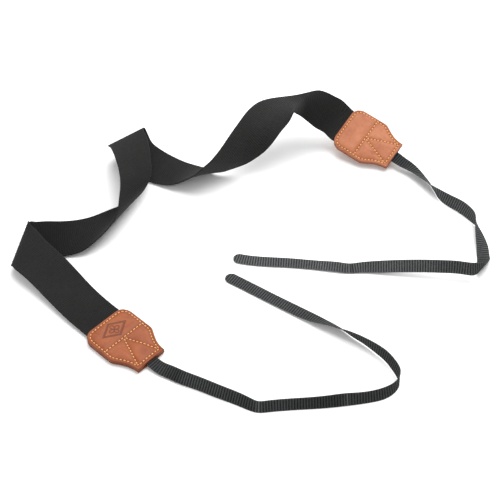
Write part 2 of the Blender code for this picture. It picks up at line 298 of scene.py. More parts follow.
def spline(knots, values, at, first, last):
    """Cubic spline through the values, with given slopes at both ends.

    The slopes m come from h1 m0 + 2 (h0 + h1) m1 + h0 m2 = 3 (h1 d0 + h0 d1), with the spans h and
    the chords' slopes d, and each span is then a cubic with those slopes at its ends.
    """
    spans = np.diff(knots)
    chords = np.diff(values, axis=0) / spans[:, None]
    count = len(knots)
    system, right = np.eye(count), np.zeros_like(values)
    inner = np.arange(1, count - 1)
    system[inner, inner - 1], system[inner, inner + 1] = spans[1:], spans[:-1]
    system[inner, inner] = 2 * (spans[1:] + spans[:-1])
    right[1:-1] = 3 * (spans[1:, None] * chords[:-1] + spans[:-1, None] * chords[1:])
    right[0], right[-1] = first, last
    slopes = np.linalg.solve(system, right)
    i = np.clip(np.searchsorted(knots, at, side="right") - 1, 0, count - 2)
    h = spans[i][:, None]
    u = (at - knots[i])[:, None] / h
    a, b, m, n = values[i], values[i + 1], slopes[i], slopes[i + 1]
    place = a + u * (h * m + u * (3 * (b - a) - h * (2 * m + n) + u * (2 * (a - b) + h * (m + n))))
    slope = m + u * (6 * (b - a) - h * (4 * m + 2 * n) + u * (6 * (a - b) + 3 * h * (m + n))) / h
    return place, slope


LIE_STEP = 0.25 * MM
TUCK_STEPS = 40
END_STEPS = 25  # rows of a rounded free end
LAST_TURN = math.radians(89)  # the last of them stays open a little, for its cap


def band_lines(rows, origin, width, start, end, tuck_before, tuck_after):
    """The band as straight lines across it: middle, direction along and direction across, at close steps.

    start and end are (middle, along, across) where the band leaves a tab; end is None at a free end.
    Inside a tab the band runs straight on for its tuck.
    """
    rows = np.array(rows)
    middle = rows[:, :3] * (LAY, LAY, width) / 100 + origin
    across = aim(rows[:, 3], rows[:, 4])
    end = (middle[-1], unit(middle[-1] - middle[-2]), across[-1]) if end is None else end
    middle[0], middle[-1], across[0], across[-1] = start[0], end[0], start[2], end[2]
    knots = lengths_along(middle)
    at = np.linspace(0, knots[-1], int(knots[-1] / LIE_STEP))
    middle, along = spline(knots, middle, at, start[1], end[1])
    across = unit(spline(knots, across, at, 0.0, 0.0)[0])
    keep = TUCK_STEPS if tuck_after else 0
    before = np.linspace(-tuck_before, 0, TUCK_STEPS, endpoint=False)[:, None]
    after = np.linspace(tuck_after, 0, keep, endpoint=False)[::-1, None]
    middle = np.vstack([start[0] + before * start[1], middle, end[0] + after * end[1]])
    along = np.vstack([np.tile(start[1], (TUCK_STEPS, 1)), unit(along), np.tile(end[1], (keep, 1))])
    across = np.vstack([np.tile(start[2], (TUCK_STEPS, 1)), across, np.tile(end[2], (keep, 1))])
    return middle, along, across


def flat_grid(lines, asides, step, free_end=None):
    """Points in space of the unrolled band's grid, rows by columns, and the length of each row.

    A line that crosses the middle at the angle a, at the length s, meets the column t at the flat
    length s + t / tan a, and there it has run t / sin a from the middle. Each column is read off at
    equal flat lengths, so the rows are square to the edges. free_end rounds the end to a half circle
    of that radius: the rows there close in by the cosine of the turn.
    """
    middle, along, across = lines
    length = lengths_along(middle)
    cosine = (along * across).sum(1)
    sine = np.linalg.norm(np.cross(along, across), axis=1)
    total = length[-1]
    if free_end is None:
        rows = np.linspace(0, total, int(total / step) + 1)
        closing = np.ones(len(rows))
    else:
        turn = np.linspace(0, LAST_TURN, END_STEPS + 1)[1:]
        straight = np.linspace(0, total - free_end, int((total - free_end) / step) + 1)
        rows = np.concatenate([straight, total - free_end + free_end * np.sin(turn)])
        closing = np.concatenate([np.ones(len(straight)), np.cos(turn)])
    columns = []
    for aside in asides:
        flat = np.maximum.accumulate(length + aside * cosine / sine)
        line = middle + across * (aside / sine)[:, None]
        columns.append(np.stack([np.interp(rows, flat, line[:, k]) for k in range(3)], -1))
    grid = np.stack(columns, 1)
    centre = grid[:, len(asides) // 2][:, None]
    return centre + (grid - centre) * closing[:, None, None], rows, closing


def facing(grid):
    """Unit normals of a grid of points: the cross product of its row and column directions."""
    return unit(np.cross(np.gradient(grid, axis=0), np.gradient(grid, axis=1)))


near_axes, far_axes = tab_axes(**NEAR_TAB), tab_axes(**FAR_TAB)
near_edge, far_edge = (np.array(WEB_ROWS[i][:3]) * (LAY, LAY, WEB_WIDTH) / 100 for i in (0, -1))
near_tip, far_tip = near_edge + near_axes[0] * TAB_LENGTH, far_edge + far_axes[0] * TAB_LENGTH
web_lines = band_lines(
    WEB_ROWS, 0.0, WEB_WIDTH,
    (near_edge, -near_axes[0], -near_axes[1]), (far_edge, far_axes[0], far_axes[1]), WEB_TUCK, WEB_TUCK,
)
near_lines, far_lines = (
    band_lines(rows, tip * (1, 1, 0), TIE_WIDTH, (tip, axes[0], axes[1]), None, TIE_TUCK, 0.0)
    for rows, tip, axes in ((NEAR_ROWS, near_tip, near_axes), (FAR_ROWS, far_tip, far_axes))
)
for name, (middle, _, _) in (("webbing", web_lines), ("near tie", near_lines), ("far tie", far_lines)):
    print(name, "along its middle:", round(lengths_along(middle)[-1] / MM), "mm")

# %% [markdown]
# ## Where the floor is
# The rows are told from the photograph's own middle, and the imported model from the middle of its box.
# The webbing's box in both gives the shift between the two.

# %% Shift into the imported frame
web_middle, web_along, web_across = web_lines
web_sine = np.linalg.norm(np.cross(web_along, web_across), axis=1)
web_half = web_across * (WEB_WIDTH / 2 / web_sine)[:, None]
web_edges = np.concatenate([web_middle - web_half, web_middle + web_half])
web_low, web_high = (np.array(corner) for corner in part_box("neck_webbing"))
shift = (web_low + web_high) / 2 - (web_edges.min(axis=0) + web_edges.max(axis=0)) / 2
web_lines, near_lines, far_lines = (
    (lines[0] + shift, lines[1], lines[2]) for lines in (web_lines, near_lines, far_lines)
)
near_edge, far_edge = near_edge + shift, far_edge + shift
print("shift in mm:", np.round(shift / MM, 2))

# %% [markdown]
# ## Weaving the wide webbing
# Webbing is woven with thick cross threads, so its face has fine ribs square to its edges, 1.9 mm apart, and
# a smoother selvedge along each edge. The ribs are real relief: a closed skin runs round the band, front,
# edge and back, and its height follows the ribs. A `weave` UV map keeps the flat coordinates in metres, so
# that the finish can follow the threads, and a table gives painted light and shade to each stretch of the
# band.

# %% A closed skin round a band
def smooth_step(x):
    """0 below 0, 1 above 1 and 3x^2 - 2x^3 between."""
    x = np.clip(x, 0, 1)
    return x * x * (3 - 2 * x)


def put_in_scene(name, points, faces, material):
    """A mesh object at the origin with these faces, set smooth, riding on the part's one body."""
    mesh = bpy.data.meshes.new(name)
    mesh.from_pydata(points.reshape(-1, 3), [], faces)
    mesh.materials.append(material)
    mesh.polygons.foreach_set("use_smooth", np.ones(len(mesh.polygons), bool))
    mesh.update()
    made = bpy.data.objects.new(name, mesh)
    bpy.context.scene.collection.objects.link(made)
    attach(made, "root")
    return made


def band_skin(name, grid, rows, asides, closing, height, painted_light, material):
    """A closed skin round a band: the front columns, then the back ones, in rings joined row by row.

    A front point lies at middle + height * normal and a back one at middle - height * normal. The
    height is zero at the two edges, which the front and the back share. Two caps close the ends.
    The tone at each flat length, from its table, is kept as an attribute: painted light and shade.
    """
    normal = facing(grid)
    front = grid + normal * height(rows[:, None], asides[None, :], 1)[..., None]
    back = grid - normal * height(rows[:, None], asides[None, :], -1)[..., None]
    points = np.concatenate([front, back[:, -2:0:-1]], axis=1)
    count, ring = points.shape[:2]
    start = np.arange(count - 1)[:, None] * ring + np.arange(ring)[None, :]
    onward = np.arange(count - 1)[:, None] * ring + (np.arange(ring)[None, :] + 1) % ring
    sides = np.stack([start, start + ring, onward + ring, onward], -1).reshape(-1, 4)
    faces = sides.tolist() + [list(range(ring)), list(range(count * ring - 1, (count - 1) * ring - 1, -1))]
    made = put_in_scene(name, points, faces, material)
    aside = np.concatenate([asides, asides[-2:0:-1]])
    flat = np.stack(
        [np.broadcast_to(rows[:, None], (count, ring)), aside[None, :] * closing[:, None]], -1
    ).reshape(-1, 2)
    corner = np.empty(len(made.data.loops), np.int32)
    made.data.loops.foreach_get("vertex_index", corner)
    made.data.uv_layers.new(name="weave").data.foreach_set("uv", flat[corner].ravel())
    at, tone = np.array(painted_light).T
    tones = np.repeat(np.interp(rows / MM, at, tone), ring).astype(np.float32)
    made.data.attributes.new("painted_light", "FLOAT", "POINT").data.foreach_set("value", tones)
    return made


SELVEDGE_STEPS = 4


def selvedge_columns(half_width, inner, edge):
    """Places across a band: even ones inside, and sine steps over each rounded edge."""
    side = half_width - edge + edge * np.sin(np.linspace(0, math.pi / 2, SELVEDGE_STEPS + 1))
    inside = np.linspace(-(half_width - edge), half_width - edge, inner)
    return np.concatenate([-side[:0:-1], inside, side[1:]])


def band_height(half_width, thickness, pitch, relief, selvedge, edge):
    """Height of a ribbed face: half the thickness, rounded off at the edges, with ribs of this relief.

    The rounding is sqrt(1 - e^2), where e goes from 0 to 1 over the edge. A rib is a cosine in the
    flat length, and over the selvedge it fades to about a third. Front and back ribs are half a pitch
    apart.
    """
    def height(length, aside, side):
        e = np.clip((np.abs(aside) - (half_width - edge)) / edge, 0, 1)
        rounding = np.sqrt(np.maximum(1 - e * e, 0))
        fade = 1 - smooth_step((np.abs(aside) - (half_width - selvedge)) / (0.5 * selvedge))
        phase = 2 * math.pi * length / pitch + (0 if side > 0 else math.pi)
        rib = np.cos(phase) * relief * (0.35 + 0.65 * fade)
        return (thickness / 2 - relief + rib) * rounding

    return height


# %% [markdown]
# ## The finish of black webbing
# Dyed polyester is charcoal more than black. The grooves of the ribs are painted dark and their crowns pale,
# as painted shade and painted highlight, and loose fibre gives a faint grey haze, which a little sheen stands
# for. The threads along the band show as fine rows that alternate from rib to rib. Both patterns are sines of
# the flat coordinates, so they follow every fold. The tone of each stretch, set by comparing the render with
# the photograph, is multiplied in last as painted light and shade: a painted highlight where the band is
# paler, and painted shade where the photograph has deeper shade than these lights give.

# %% Black webbing
class Nodes:
    """Short calls that add and join shader nodes."""

    def __init__(self, tree):
        self.tree = tree

    def add(self, kind, **settings):
        node = self.tree.nodes.new(kind)
        for name, value in settings.items():
            setattr(node, name, value)
        return node

    def join(self, out, into):
        self.tree.links.new(out, into)

    def math(self, operation, *inputs):
        node = self.add("ShaderNodeMath", operation=operation)
        for i, value in enumerate(inputs):
            if isinstance(value, (int, float)):
                node.inputs[i].default_value = value
            else:
                self.join(value, node.inputs[i])
        return node.outputs[0]

    def noise(self, place, scale, detail=4.0, roughness=0.6):
        node = self.add("ShaderNodeTexNoise")
        node.inputs["Scale"].default_value = scale
        node.inputs["Detail"].default_value = detail
        node.inputs["Roughness"].default_value = roughness
        self.join(place, node.inputs["Vector"])
        return node.outputs["Fac"]

    def ramp(self, factor, *stops):
        node = self.add("ShaderNodeValToRGB")
        elements = node.color_ramp.elements
        while len(elements) < len(stops):
            elements.new(0.5)
        for element, (place, colour) in zip(elements, stops):
            element.position, element.color = place, (*colour, 1.0)
        self.join(factor, node.inputs["Fac"])
        return node.outputs["Color"]

    def blend(self, factor, first, second, mode="MIX"):
        node = self.add("ShaderNodeMix", data_type="RGBA", blend_type=mode)
        for socket, value in ((node.inputs[0], factor), (node.inputs[6], first), (node.inputs[7], second)):
            if isinstance(value, (int, float)):
                socket.default_value = value
            elif isinstance(value, tuple):
                socket.default_value = (*value, 1.0)
            else:
                self.join(value, socket)
        return node.outputs[2]


# how fine each noise is, and how much each pattern changes the tone
FIBRE_GRAIN, FIBRE_CONTRAST = 1500, 2.3
FADE_GRAIN, FADE_CONTRAST, FADE_LEAST = 22, 0.8, 0.6
YARN_CONTRAST, SELVEDGE_PALE = 0.20, 0.25


def webbing_material(name, pitch, yarn, contrast, groove, crown, half_width, selvedge):
    """Woven black webbing: grooves painted darker and crowns paler by the flat length, as painted shade and
    painted highlight, yarns by the place across.
    """
    made, tree, shader = bare_material(name)
    nodes = Nodes(tree)
    weave = nodes.add("ShaderNodeSeparateXYZ")
    nodes.join(nodes.add("ShaderNodeUVMap", uv_map="weave").outputs["UV"], weave.inputs[0])
    place = nodes.add("ShaderNodeTexCoord").outputs["Object"]
    length, aside = weave.outputs["X"], weave.outputs["Y"]
    rib = nodes.math("COSINE", nodes.math("MULTIPLY", length, 2 * math.pi / pitch))
    turn = nodes.math("MULTIPLY", length, math.pi / pitch)
    yarns = nodes.math("MULTIPLY", aside, 2 * math.pi / yarn)
    over = nodes.math("MULTIPLY", nodes.math("SINE", yarns), nodes.math("COSINE", turn))
    fibre = nodes.noise(place, FIBRE_GRAIN, 4, 0.7)
    fade = nodes.noise(place, FADE_GRAIN, 3)
    lift = nodes.math("MULTIPLY_ADD", rib, contrast, 0.5)
    lift = nodes.math("MULTIPLY_ADD", over, YARN_CONTRAST, lift)
    loose = nodes.math("MULTIPLY_ADD", fibre, FIBRE_CONTRAST, -FIBRE_CONTRAST / 2)
    lift = nodes.math("ADD", lift, loose)
    # the grooves of the ribs are painted dark and their crowns pale: painted shade and painted highlight over
    # the real relief
    colour = nodes.ramp(lift, (0.1, groove), (0.9, crown))
    # painted light and shade, a tone by flat length from the band's table, times a random fade
    painted_light = nodes.add("ShaderNodeAttribute", attribute_name="painted_light").outputs["Fac"]
    painted_light_and_fade = nodes.math("MULTIPLY", painted_light, nodes.math("MULTIPLY_ADD", fade, FADE_CONTRAST, FADE_LEAST))
    colour = nodes.blend(1.0, colour, painted_light_and_fade, "MULTIPLY")
    edge = nodes.math("SUBTRACT", nodes.math("ABSOLUTE", aside), half_width - selvedge)
    on_edge = nodes.math("MULTIPLY", nodes.math("GREATER_THAN", edge, 0.0), SELVEDGE_PALE)
    colour = nodes.blend(on_edge, colour, crown)
    nodes.join(colour, shader.inputs["Base Color"])
    bump = nodes.add("ShaderNodeBump")
    bump.inputs["Strength"].default_value = 0.7
    bump.inputs["Distance"].default_value = 0.12 * MM
    relief = nodes.math("MULTIPLY_ADD", fibre, 0.6, nodes.math("MULTIPLY", over, 0.5))
    nodes.join(relief, bump.inputs["Height"])
    nodes.join(bump.outputs["Normal"], shader.inputs["Normal"])
    shader.inputs["Roughness"].default_value = 0.82
    shader.inputs["Specular IOR Level"].default_value = 0.10
    shader.inputs["Sheen Weight"].default_value = 0.05
    shader.inputs["Sheen Roughness"].default_value = 0.4
    return made


RIB_PITCH, RIB_STEPS, RIB_RELIEF = 1.9 * MM, 6, 0.06 * MM
WEB_SELVEDGE, WEB_ROUND = 1.3 * MM, 0.9 * MM
black_webbing = webbing_material(
    "black webbing",
    pitch=RIB_PITCH,
    yarn=1.1 * MM,
    contrast=0.18,
    groove=(0.0045, 0.0047, 0.0047),
    crown=(0.0205, 0.0205, 0.0198),
    half_width=WEB_WIDTH / 2,
    selvedge=WEB_SELVEDGE,
)
print("finish:", black_webbing.name, "with ribs", round(RIB_PITCH / MM, 1), "mm apart")

# %% The wide webbing
# flat length in mm and tone, painted light and shade: painted shade in the first fold and past the ridge, and
# a painted highlight at the ridge and before it
WEB_PAINTED_LIGHT = (
    (0, 1.0), (120, 1.08), (141, 1.1), (150, 0.52), (185, 0.6), (225, 1.0), (265, 0.9), (325, 1.0),
    (355, 1.0), (375, 0.95), (430, 1.1), (470, 1.4), (520, 1.2), (550, 1.4), (572, 1.75), (586, 0.42),
    (612, 0.72), (632, 1.1), (650, 1.1),
)
WEB_COLUMNS = 13
web_asides = selvedge_columns(WEB_WIDTH / 2, WEB_COLUMNS, WEB_ROUND)
web_grid, web_rows, web_closing = flat_grid(web_lines, web_asides, RIB_PITCH / RIB_STEPS)
web_height = band_height(WEB_WIDTH / 2, WEB_THICKNESS, RIB_PITCH, RIB_RELIEF, WEB_SELVEDGE, WEB_ROUND)
webbing = band_skin(
    "webbing", web_grid, web_rows, web_asides, web_closing, web_height, WEB_PAINTED_LIGHT, black_webbing
)
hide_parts("neck_webbing")

# %% [markdown]
# ## The thin ties
# A tie is a narrow grosgrain tape. Its cross threads are much thicker than in the webbing, so each
# rib stands out as a round cord 2.3 mm from the next, and the tape is sealed to a half circle at its
# free end. The same skin is used with deeper relief.

# %% Ties
TIE_PITCH, TIE_STEPS, TIE_RELIEF = 2.3 * MM, 8, 0.19 * MM
TIE_SELVEDGE, TIE_ROUND = 0.8 * MM, 0.6 * MM
TIE_COLUMNS = 9
# flat length in mm and tone, painted light and shade: painted shade where a tie stands on edge, and paler at
# the creases
TIE_PAINTED_LIGHT = dict(
    near=(
        (0, 0.7), (30, 0.62), (42, 0.45), (50, 0.75), (75, 0.75), (108, 0.55), (114, 0.65), (117, 1.4),
        (120, 0.65), (180, 0.5), (187, 0.7), (189, 1.3), (191, 0.6), (230, 0.6), (300, 0.8), (330, 0.8),
        (360, 0.95), (450, 1.0),
    ),
    far=(
        (0, 0.5), (30, 0.62), (45, 0.8), (70, 1.4), (160, 1.15), (176, 0.9), (200, 0.8), (240, 1.15),
        (306, 1.2), (308, 0.6), (310, 1.6), (313, 1.2), (430, 1.35),
    ),
)

# the tie's ribs carry deeper painted shade in the grooves and a paler painted highlight on the crowns
black_tie = webbing_material(
    "black tie",
    pitch=TIE_PITCH,
    yarn=0.8 * MM,
    contrast=0.40,
    groove=(0.0045, 0.0050, 0.0055),
    crown=(0.078, 0.081, 0.082),
    half_width=TIE_WIDTH / 2,
    selvedge=0.9 * MM,
)
tie_asides = selvedge_columns(TIE_WIDTH / 2, TIE_COLUMNS, TIE_ROUND)
tie_height = band_height(TIE_WIDTH / 2, TIE_THICKNESS, TIE_PITCH, TIE_RELIEF, TIE_SELVEDGE, TIE_ROUND)
for name, lines in (("near", near_lines), ("far", far_lines)):
    grid, rows, closing = flat_grid(lines, tie_asides, TIE_PITCH / TIE_STEPS, free_end=TIE_WIDTH / 2)
    tie = band_skin(f"tie_{name}", grid, rows, tie_asides, closing, tie_height, TIE_PAINTED_LIGHT[name], black_tie)
    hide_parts(f"tie_strap_{name}")
    print(tie.name, len(tie.data.polygons), "faces,", round(float(rows[-1]) / MM), "mm long")

# %% [markdown]
# ## The shape of a leather tab
# Two layers of leather are cut to one outline and sewn together over the end of the webbing and the
# end of the tie. So each layer bulges over what it holds and comes down to the other layer at the
# seams. The outline has two round corners, straight sides, shoulders, and a hollow taper to the tip.
# All of it is told in the tab's own flat coordinates, along it from the webbing's edge, and aside.

# %% Outline, pocket and seams
def tab_half_width(along):
    """Half of the tab's width: a quarter circle at the corner, straight, then the taper's curve."""
    corner = TAB_WIDTH / 2 - TAB_CORNER + np.sqrt(
        np.maximum(TAB_CORNER**2 - np.maximum(TAB_CORNER - along, 0.0) ** 2, 0.0)
    )
    shares = (0.0, 0.0), (0.08, 0.06), (0.2, 0.25), (0.4, 0.58), (0.6, 0.83), (0.8, 0.96), (1.0, 1.0)
    way = (along - SHOULDER) / (TAB_LENGTH - SHOULDER)
    rounded = sum(np.interp(way + nudge, *zip(*shares)) for nudge in (-0.05, 0.0, 0.05)) / 3
    return corner - (TAB_WIDTH - TIP_WIDTH) / 2 * rounded


def side_line(corner_steps, straight_steps):
    """The left side of the outline: fine steps round the corner, then even ones to the tip."""
    corner = TAB_CORNER * (1 - np.cos(np.linspace(0, math.pi / 2, corner_steps)))
    along = np.concatenate([corner, np.linspace(TAB_CORNER, TAB_LENGTH, straight_steps)[1:]])
    return np.stack([along, tab_half_width(along)], -1)


def pocket(along, aside, start, end, half_width, end_slope=SEAM_SLOPE):
    """1 over a piece held between the leathers and a little round it, 0 past the slope to the seam."""
    clear = 3 * GAP
    past_end = (np.maximum(start - along, along - end) - clear) / end_slope
    past_side = (np.abs(aside) - half_width - clear) / SEAM_SLOPE
    return 1 - smooth_step(np.maximum(past_end, past_side))


def distance_to(points, line):
    """Least distance from each point to a polyline: to the nearest spot of each of its straight parts."""
    nearest = np.full(points.shape[:-1], np.inf)
    for a, b in zip(line[:-1], line[1:]):
        way = b - a
        share = np.clip(((points - a) @ way) / (way @ way + 1e-18), 0, 1)
        nearest = np.minimum(nearest, np.linalg.norm(points - a - share[..., None] * way, axis=-1))
    return nearest


def resample(line, pitch):
    """Points at equal steps along a polyline, close to this pitch."""
    at = lengths_along(line)
    spots = np.linspace(0, at[-1], max(2, round(at[-1] / pitch) + 1))
    return np.stack([np.interp(spots, at, line[:, k]) for k in range(2)], -1)


SEAM_INSET = 2.7 * MM
TIP_INSET = 3.2 * MM
CROSS_SEAM, CROSS_SHORT = 25.8 * MM, 0.6 * MM  # from the webbing's edge, and short of the side seams
# the legs start close together just past the cross seam, and stop before the corners at the tip
LEG_START, LEG_APART, LEG_STOP, LEG_CORNER = 0.7 * MM, 0.5 * MM, 1.6 * MM, 1.0 * MM
STITCH_PITCH = 3.3 * MM


def seam_lines():
    """The seams as polylines: round the tab, straight across it, and two legs from there to the tip."""
    side = side_line(corner_steps=30, straight_steps=80)
    way = unit(np.gradient(side, axis=0))
    inner = side + SEAM_INSET * np.stack([way[:, 1], -way[:, 0]], -1)
    last = TAB_LENGTH - TIP_INSET
    inner = inner[(inner[:, 0] < last) & (inner[:, 0] > SEAM_INSET - 1e-6)]
    inner = np.vstack([inner, [last, inner[-1, 1]]])
    other = inner[::-1] * (1, -1)
    round_it = np.vstack([inner, other, inner[:1]])
    straight = inner[inner[:, 0] > TAB_CORNER]
    reach = np.interp(CROSS_SEAM, straight[:, 0], straight[:, 1]) - CROSS_SHORT
    cross = np.array([[CROSS_SEAM, -reach], [CROSS_SEAM, reach]])
    leg = np.array([[CROSS_SEAM + LEG_START, LEG_APART], [last - LEG_STOP, inner[-1, 1] - LEG_CORNER]])
    return [round_it, cross, leg, leg * (1, -1)]


seams = seam_lines()
stitch_spots = [resample(line, STITCH_PITCH) for line in seams]
print("stitches on one face:", sum(len(spots) - 1 for spots in stitch_spots))

# %% [markdown]
# ## The leather's surface
# Between its seams the leather swells a little, along them it is pulled down, and each hole of the
# needle is a small pit. The cut edge is rounded on the face side. One function gives the height of
# the face at any place of the tab, so the stitches can later lie on it. The near tab also carries a
# pressed ornament: a lozenge round a flower of four petals, drawn here from two plain formulas.

# %% Face of the leather
MARK_CENTRE = (14.0 * MM, 0.0)
LOZENGE_ALONG, LOZENGE_ACROSS, LOZENGE_INNER = 8.2 * MM, 13.0 * MM, 0.86
PETAL = 4.9 * MM


def ornament():
    """Grooves of the pressed mark: a lozenge |x|/a + |y|/b = 1 and a flower r = c |cos 2q|^0.6."""
    corners = np.array([(0, 1), (1, 0), (0, -1), (-1, 0), (0, 1)])
    lozenge = corners * (LOZENGE_ALONG, LOZENGE_ACROSS)
    turn = np.linspace(0, 2 * math.pi, 145)
    petal = PETAL * np.abs(np.cos(2 * turn)) ** 0.6
    flower = np.stack([petal * np.cos(turn), petal * np.sin(turn)], -1)
    return [MARK_CENTRE + line for line in (lozenge, flower, lozenge * LOZENGE_INNER)]


EDGE_ROUND = 0.9 * MM
LONG_SLOPE = 11 * MM
outline_side = side_line(corner_steps=24, straight_steps=60)
outline = np.vstack([outline_side, outline_side[::-1] * (1, -1), outline_side[:1]])
needle_holes = np.vstack(stitch_spots)
# depth or height of each relief of the face, and how far it reaches
SWELL, SWELL_REACH = 0.35 * MM, 5 * MM
GROOVE, GROOVE_REACH = 0.30 * MM, 1.1 * MM
PIT, PIT_REACH = 0.40 * MM, 0.50 * MM
MARK, MARK_REACH = 0.28 * MM, 0.42 * MM
# how far the darker leather reaches from a needle hole, a seam and the cut edge
HOLE_STAIN, SEAM_STAIN, CUT_STAIN = 0.62 * MM, 1.9 * MM, 0.8 * MM


def bell(distance, reach):
    """A soft bump: exp(-(d / r)^2)."""
    return np.exp(-((distance / reach) ** 2))


def held_height(along, aside, end_slope=SEAM_SLOPE):
    """Height of the leather's inner face over the middle of the tab: gap, webbing or tie."""
    over_web = pocket(along, aside, -LAY, WEB_TUCK, WEB_WIDTH / 2, end_slope)
    over_tie = pocket(along, aside, TAB_LENGTH - TIE_TUCK, LAY, TIE_WIDTH / 2, end_slope)
    return GAP / 2 + np.maximum((WEB_THICKNESS + GAP) / 2 * over_web, (TIE_THICKNESS + GAP) / 2 * over_tie)


def face_height(along, aside, marks=()):
    """Height of the leather's face, and masks: needle holes, beside a seam, the cut edge and in a mark.

    height = inner face + thickness + swelling - seam groove - needle holes - mark, and the cut edge
    takes off r - sqrt(r^2 - (r - d)^2) within r of the outline, for the distance d to it. Thick
    leather bridges the ends of what it holds, so the face comes down there over a long slope.
    """
    spot = np.stack([along, aside], -1)
    to_seam = np.min([distance_to(spot, line) for line in seams], axis=0)
    to_edge = distance_to(spot, outline)
    to_hole = np.min(np.linalg.norm(spot[..., None, :] - needle_holes, axis=-1), axis=-1)
    swell = SWELL * smooth_step(to_seam / SWELL_REACH)
    groove, pit = GROOVE * bell(to_seam, GROOVE_REACH), PIT * bell(to_hole, PIT_REACH)
    drop = EDGE_ROUND - np.sqrt(np.maximum(EDGE_ROUND**2 - np.maximum(EDGE_ROUND - to_edge, 0) ** 2, 0))
    height = held_height(along, aside, LONG_SLOPE) + LEATHER + swell - groove - pit - drop
    pressed = np.zeros_like(height)
    for mark in marks:
        pressed = np.maximum(pressed, bell(distance_to(spot, mark), MARK_REACH))
    masks = dict(
        holes=bell(to_hole, HOLE_STAIN),
        seam=bell(to_seam, SEAM_STAIN),
        cut=np.exp(-to_edge / CUT_STAIN),
        pressed=pressed,
    )
    return height - MARK * pressed, masks


# %% [markdown]
# ## Tan leather
# Vegetable-tanned leather is a warm tan with soft clouds of darker colour, fine grain, and a satin face. It
# is darker at the cut edges, round the needle holes and in pressed marks, where it has been squeezed or
# rubbed. Those places are kept as attributes on the mesh, so the colour follows the relief. Grain is a fine
# cell pattern in the bump. The far tab's leather is painted paler than the near one's, as a painted highlight
# of the light that it faces.

# %% Tan leather
CLOUD_GRAIN, SPECK_GRAIN, PORE_GRAIN = 70, 800, 1500


def leather_material(name, light, dark, edge):
    """Tan leather: clouds, pores and grain by Object coordinates, darkened by the mesh's masks."""
    made, tree, shader = bare_material(name)
    nodes = Nodes(tree)
    place = nodes.add("ShaderNodeTexCoord").outputs["Object"]
    cloud = nodes.noise(place, CLOUD_GRAIN, 6, 0.62)
    speck = nodes.noise(place, SPECK_GRAIN, 5, 0.7)
    tone = nodes.math("MULTIPLY_ADD", speck, 0.45, nodes.math("MULTIPLY", cloud, 0.75))
    colour = nodes.ramp(tone, (0.42, dark), (0.72, light))
    stains = ("seam", 0.55, dark), ("cut", 0.45, edge), ("holes", 0.75, edge), ("pressed", 1.0, edge)
    for attribute, strength, shade in stains:
        mask = nodes.add("ShaderNodeAttribute", attribute_name=attribute).outputs["Fac"]
        colour = nodes.blend(nodes.math("MULTIPLY", mask, strength), colour, shade)
    nodes.join(colour, shader.inputs["Base Color"])
    grain = nodes.add("ShaderNodeTexVoronoi", feature="DISTANCE_TO_EDGE")
    grain.inputs["Scale"].default_value = PORE_GRAIN
    nodes.join(place, grain.inputs["Vector"])
    cells = nodes.math("MINIMUM", grain.outputs["Distance"], 0.12)
    relief = nodes.math("MULTIPLY_ADD", cells, 3.0, nodes.math("MULTIPLY", speck, 0.8))
    bump = nodes.add("ShaderNodeBump")
    bump.inputs["Strength"].default_value = 0.35
    bump.inputs["Distance"].default_value = 0.08 * MM
    nodes.join(relief, bump.inputs["Height"])
    nodes.join(bump.outputs["Normal"], shader.inputs["Normal"])
    rough = nodes.math("MULTIPLY_ADD", speck, 0.25, 0.40)
    nodes.join(rough, shader.inputs["Roughness"])
    shader.inputs["Specular IOR Level"].default_value = 0.28
    return made


tan_leather = dict(
    near=leather_material(
        "tan leather",
        light=(0.300, 0.082, 0.0245),
        dark=(0.192, 0.040, 0.0096),
        edge=(0.080, 0.015, 0.004),
    ),
    # the far tab: the same leather painted paler, as a painted highlight
    far=leather_material(
        "paler tan leather with painted highlight",
        light=(0.415, 0.152, 0.070),
        dark=(0.280, 0.078, 0.028),
        edge=(0.115, 0.025, 0.007),
    ),
)
print("finishes:", [material.name for material in tan_leather.values()])

# %% [markdown]
# ## Building the layers
# A layer is a closed shell on a grid that is fine near the cut edge. Its face has the height worked
# out above, its inner side follows what it holds, and a wall joins the two round the outline. The
# lower layer is the upper one turned over, pressed flat by the floor, and only the near upper one
# carries the mark.

# %% Leather layers
def graded(stop, inner, edge_steps, edge):
    """Places from 0 to stop, close together within `edge` of both ends."""
    close = edge * (1 - np.cos(np.linspace(0, math.pi / 2, edge_steps)))
    return np.concatenate([close, np.linspace(edge, stop - edge, inner)[1:-1], (stop - close)[::-1]])


LAYER_ROWS, LAYER_COLUMNS, LAYER_EDGE_STEPS = 118, 92, 7
LEAST_LEATHER = 0.5 * MM


